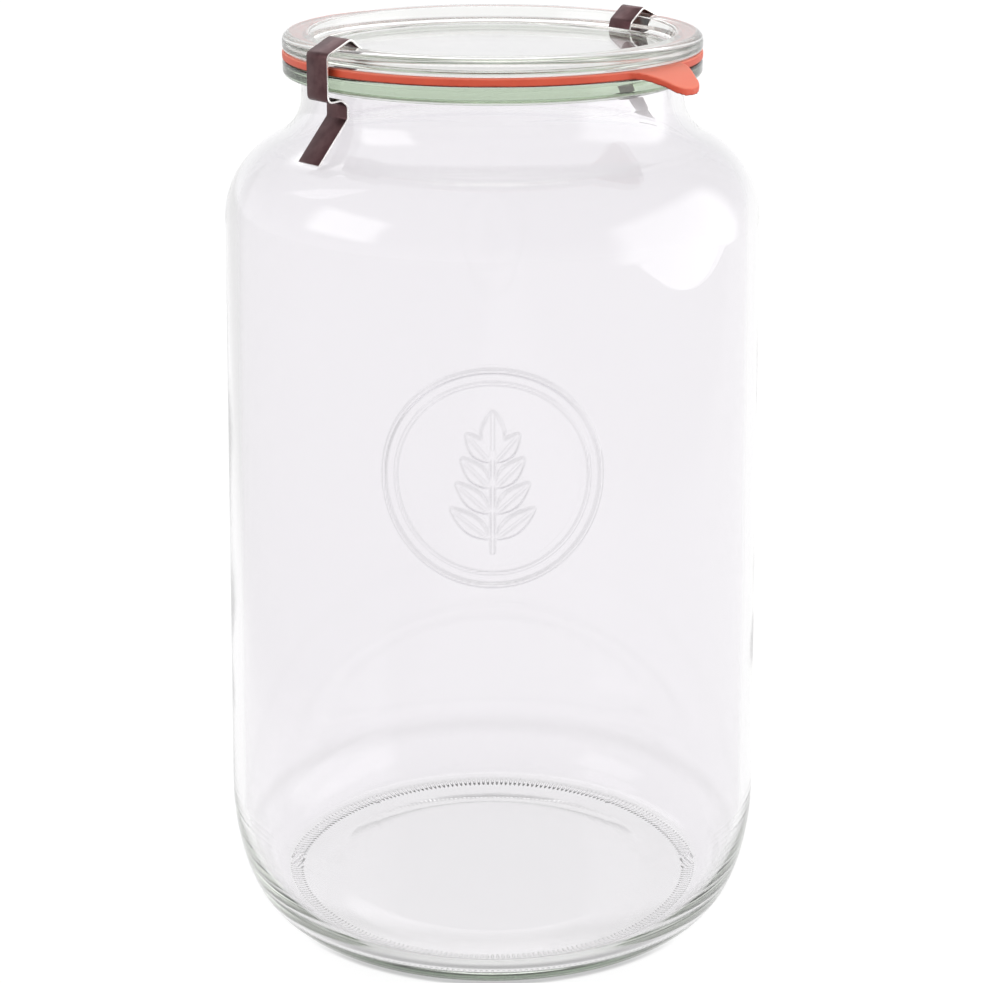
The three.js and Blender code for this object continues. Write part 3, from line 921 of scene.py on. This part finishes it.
# %% The middle line of a clip
CLIP_BEND = 1.6 * MM
CLIP_BEND_STEPS = 6
CLIP_BEND_SHARE = 0.45
CLIP_LEG_R = MOUTH_OUTER_R + 2.2 * MM
CLIP_HOOK_R = NECK_R + 0.75 * MM
CLIP_LINE = [
    (LID_WELL_R - 1.1 * MM, LID_WELL_Z + 0.5 * MM),
    (LID_WELL_R - 0.4 * MM, LID_TOP - 1.6 * MM),
    (LID_RIM_INNER_R + 1 * MM, LID_TOP + 2.3 * MM),
    (CLIP_LEG_R, LID_TOP - 1.5 * MM),
    (CLIP_LEG_R, RIM_BOTTOM - 2.4 * MM),
    (CLIP_HOOK_R + 2 * MM, RIM_BOTTOM - 2 * MM),
    (CLIP_HOOK_R, RIM_BOTTOM - 3.6 * MM),
    (CLIP_HOOK_R, NECK_Z - 1.6 * MM),
    (CLIP_HOOK_R + 10.15 * MM, NECK_Z - 13.4 * MM),
]


def rounded_line(line, radius):
    """The line with each corner replaced by a short curve."""
    points = [Vector(line[0])]
    for before, corner, after in zip(line, line[1:], line[2:]):
        before, corner, after = Vector(before), Vector(corner), Vector(after)
        back, ahead = (before - corner).normalized(), (after - corner).normalized()
        half = back.angle(ahead) / 2
        room = CLIP_BEND_SHARE * min((before - corner).length, (after - corner).length)
        reach = min(radius / math.tan(half), room)
        start, end = corner + back * reach, corner + ahead * reach
        for i in range(CLIP_BEND_STEPS + 1):
            t = i / CLIP_BEND_STEPS
            points.append(start * (1 - t) ** 2 + corner * 2 * t * (1 - t) + end * t ** 2)
    points.append(Vector(line[-1]))
    return [tuple(point) for point in points]


clip_line = rounded_line(CLIP_LINE, CLIP_BEND)
clip_length = sum(math.dist(a, b) for a, b in zip(clip_line, clip_line[1:]))
print("clip's strip: %.1f mm long" % (clip_length / MM))

# %% Bend the clips
CLIP_WIDTH = 9.2 * MM
CLIP_THICK = 0.6 * MM
CLIP_CORNER = 0.8 * MM
CLIP_EDGE = 0.1 * MM
CLIP_EDGE_ANGLE = math.radians(50)
CLIP_AZIMUTHS = {"clip_front": -49.5, "clip_back": 129.3}


def pull_across(bm):
    """Turns the line into a strip of the clip's width."""
    bmesh.ops.translate(bm, verts=bm.verts, vec=(0, -CLIP_WIDTH / 2, 0))
    pulled = bmesh.ops.extrude_edge_only(bm, edges=bm.edges[:])
    far_side = [item for item in pulled["geom"] if isinstance(item, bmesh.types.BMVert)]
    bmesh.ops.translate(bm, verts=far_side, vec=(0, CLIP_WIDTH, 0))


def round_ends(bm):
    """Rounds the four corners at the strip's two ends."""
    corners = [
        vert for edge in bm.edges
        if len(edge.link_faces) == 1 and edge.link_faces[0].calc_area() > 0
        and abs(edge.verts[0].co.y - edge.verts[1].co.y) > CLIP_WIDTH / 2
        for vert in edge.verts
    ]
    bmesh.ops.bevel(
        bm, geom=corners, offset=CLIP_CORNER, offset_type="OFFSET", segments=3,
        profile=0.5, material=-1, affect="VERTICES",
    )


def bend_clip(name, azimuth):
    """One clip with the thickness of its sheet, at its place round the rim."""
    bm = outline_mesh(clip_line)
    pull_across(bm)
    round_ends(bm)
    bmesh.ops.recalc_face_normals(bm, faces=bm.faces)
    turned_upright(bm, math.radians(azimuth - 90))
    clip = piece_from(bm, name + "_strip", name, face_steel)
    clip.data.materials.append(edge_steel)
    thick = clip.modifiers.new("sheet", "SOLIDIFY")
    thick.thickness = CLIP_THICK
    thick.offset = 0
    thick.use_even_offset = True
    thick.material_offset_rim = 1
    ease = clip.modifiers.new("eased_edges", "BEVEL")
    ease.width = CLIP_EDGE
    ease.segments = 2
    ease.limit_method = "ANGLE"
    ease.angle_limit = CLIP_EDGE_ANGLE
    apply_modifiers(clip)
    print("%s: %d faces" % (clip.name, len(clip.data.polygons)))


for clip_name, clip_azimuth in CLIP_AZIMUTHS.items():
    bend_clip(clip_name, clip_azimuth)

# %% [markdown]
# The floor
#
# Clear glass shows only what it bends and reflects, so the room is the picture. Glass is
# often photographed on a white table that is lit from below, with a darker card out of
# view that gives one side a grey outline. Lamps from above could light a plain floor, but
# they would also show in the glass. So the floor glows of itself, and less beyond a line
# at its left, in place of the card. A narrow dim arc under the front of the foot is a
# painted shadow in the glow where glass meets table, laid only at the front.

# %% Material of the floor
FLOOR_GREY = (0.12, 0.12, 0.12, 1)
CARD_SLANT = (1, 0.19, 0)
CARD_FADE = (-0.30, -0.17)
CARD_GLOW, FLOOR_GLOW = 0.76, 0.94
# A painted shadow in the floor's glow, under the front of the foot only
SHADOW_INNER = (66 * MM, 67.5 * MM)
SHADOW_OUTER = (71 * MM, 69 * MM)
SHADOW_FRONT = (-38 * MM, -60 * MM)
SHADOW_GLOW = 0.55


def floor_material():
    """A pale floor that glows, with the card and a painted shadow in its glow."""
    material, nodes, links, shader = shader_nodes("pale_floor")
    shader.inputs["Base Color"].default_value = FLOOR_GREY
    shader.inputs["Roughness"].default_value = 0.9
    shader.inputs["Specular IOR Level"].default_value = 0.0
    shader.inputs["Emission Color"].default_value = (1, 1, 1, 1)
    place = nodes.new("ShaderNodeTexCoord")
    across = nodes.new("ShaderNodeVectorMath")
    across.operation = "DOT_PRODUCT"
    across.inputs[1].default_value = CARD_SLANT
    links.new(place.outputs["Object"], across.inputs[0])
    glow = nodes.new("ShaderNodeMapRange")
    glow.interpolation_type = "SMOOTHSTEP"
    glow.inputs["From Min"].default_value, glow.inputs["From Max"].default_value = CARD_FADE
    glow.inputs["To Min"].default_value = CARD_GLOW
    glow.inputs["To Max"].default_value = FLOOR_GLOW
    links.new(across.outputs["Value"], glow.inputs["Value"])
    from_middle = nodes.new("ShaderNodeVectorMath")
    from_middle.operation = "LENGTH"
    links.new(place.outputs["Object"], from_middle.inputs[0])
    split = nodes.new("ShaderNodeSeparateXYZ")
    links.new(place.outputs["Object"], split.inputs["Vector"])
    shadow = overlap(
        material, fade_between(material, from_middle.outputs["Value"], *SHADOW_INNER),
        fade_between(material, from_middle.outputs["Value"], *SHADOW_OUTER),
    )
    shadow = overlap(material, shadow, fade_between(material, split.outputs["Y"], *SHADOW_FRONT))
    dimmed = nodes.new("ShaderNodeMapRange")
    dimmed.inputs["To Min"].default_value = 1.0
    dimmed.inputs["To Max"].default_value = SHADOW_GLOW
    links.new(shadow, dimmed.inputs["Value"])
    lit = overlap(material, glow.outputs["Result"], dimmed.outputs["Result"])
    links.new(lit, shader.inputs["Emission Strength"])
    print("%s: %d nodes" % (material.name, len(nodes)))
    return material


glowing_floor = floor_material()

# %% Lay the floor
FLOOR_RADIUS = 9
FLOOR_SIDES = 96
FLOOR_GAP = 0.05 * MM

bm = bmesh.new()
bmesh.ops.create_circle(bm, cap_ends=True, segments=FLOOR_SIDES, radius=FLOOR_RADIUS)
floor_mesh = bpy.data.meshes.new("floor")
bm.to_mesh(floor_mesh)
bm.free()
floor_mesh.materials.append(glowing_floor)
floor = bpy.data.objects.new("floor", floor_mesh)
floor.location = (0, 0, cad_low.z - FLOOR_GAP)
bpy.context.scene.collection.objects.link(floor)
print("floor %d m across" % (2 * FLOOR_RADIUS))

# %% [markdown]
# The lamps
#
# The bright patches on the shoulder are reflections of soft boxes: a large one at the
# right, a smaller and higher one at the left, and one behind and above. A hard rectangle
# would give hard patches, so the light fades towards the edges, as it does in the cloth
# of a real soft box.

# %% Helpers for soft boxes
SOFTNESS = 0.22
MIDDLE_OF_LAMP = 0.5


def soft_edges(data):
    """Fades a lamp towards its edges."""
    data.use_nodes = True
    nodes, links = data.node_tree.nodes, data.node_tree.links
    across = nodes.new("ShaderNodeNewGeometry")
    sides = nodes.new("ShaderNodeSeparateXYZ")
    both = nodes.new("ShaderNodeMath")
    both.operation = "MULTIPLY"
    links.new(across.outputs["Parametric"], sides.inputs["Vector"])
    for i, axis in enumerate("XY"):
        from_edge = nodes.new("ShaderNodeMath")
        from_edge.operation = "PINGPONG"
        from_edge.inputs[1].default_value = MIDDLE_OF_LAMP
        fade = nodes.new("ShaderNodeMapRange")
        fade.interpolation_type = "SMOOTHSTEP"
        fade.inputs["From Max"].default_value = SOFTNESS
        links.new(sides.outputs[axis], from_edge.inputs[0])
        links.new(from_edge.outputs["Value"], fade.inputs["Value"])
        links.new(fade.outputs["Result"], both.inputs[i])
    links.new(both.outputs["Value"], nodes["Emission"].inputs["Strength"])


def soft_box(name, place, aim, width, height, power):
    """A rectangular lamp at a place, aimed at a point."""
    data = bpy.data.lights.new(name, "AREA")
    data.shape = "RECTANGLE"
    data.size = width
    data.size_y = height
    data.energy = power
    soft_edges(data)
    lamp = bpy.data.objects.new(name, data)
    lamp.location = place
    lamp.rotation_euler = (Vector(aim) - Vector(place)).to_track_quat("-Z", "Y").to_euler()
    bpy.context.scene.collection.objects.link(lamp)


# %% Place the soft boxes
# Name, place, the point it is aimed at, width, height and power
SOFT_BOXES = [
    ("window_right", (1.02, -0.06, 0.30), (0, -0.06, 0.30), 1.72, 1.5, 9.5),
    ("window_left", (-1.10, -0.42, 0.78), (0, 0, 0.24), 0.98, 0.75, 3.2),
    ("ceiling", (-0.25, 1.15, 1.25), (0, 0, 0.26), 1.2, 0.8, 5.0),
]

for box in SOFT_BOXES:
    soft_box(*box)
print("%d soft boxes" % len(SOFT_BOXES))

# %% [markdown]
# The room
#
# Clear glass on a white ground is seen only where what it bends or mirrors is a little
# darker. One even light all round would lose the jar. So the room is bright at the
# horizon, about as bright as the floor, and falls to four fifths higher up, which gives
# the glass its pale grey. Light crosses the jar's walls and lid many times before it gets
# out, so the paths are long.

# %% Room and light paths
ROOM_COLOUR = (0.99, 0.99, 1.0, 1)
HORIZON_STRENGTH, OVERHEAD_STRENGTH = 1.0, 0.80
OVERHEAD_FROM = 0.4
LONGEST_PATH = 48
MOST_REFLECTIONS = 24

world = bpy.data.worlds.new("room")
world.use_nodes = True
room = world.node_tree
background = room.nodes["Background"]
direction = room.nodes.new("ShaderNodeTexCoord")
split = room.nodes.new("ShaderNodeSeparateXYZ")
fade = room.nodes.new("ShaderNodeMapRange")
fade.inputs["From Min"].default_value = 0.0
fade.inputs["From Max"].default_value = OVERHEAD_FROM
fade.inputs["To Min"].default_value = HORIZON_STRENGTH
fade.inputs["To Max"].default_value = OVERHEAD_STRENGTH
background.inputs["Color"].default_value = ROOM_COLOUR
room.links.new(direction.outputs["Generated"], split.inputs["Vector"])
room.links.new(split.outputs["Z"], fade.inputs["Value"])
room.links.new(fade.outputs["Result"], background.inputs["Strength"])
scene = bpy.context.scene
scene.world = world
scene.view_settings.view_transform = "Standard"
scene.cycles.max_bounces = LONGEST_PATH
scene.cycles.transmission_bounces = LONGEST_PATH
scene.cycles.glossy_bounces = MOST_REFLECTIONS
print("light paths of up to %d steps" % LONGEST_PATH)
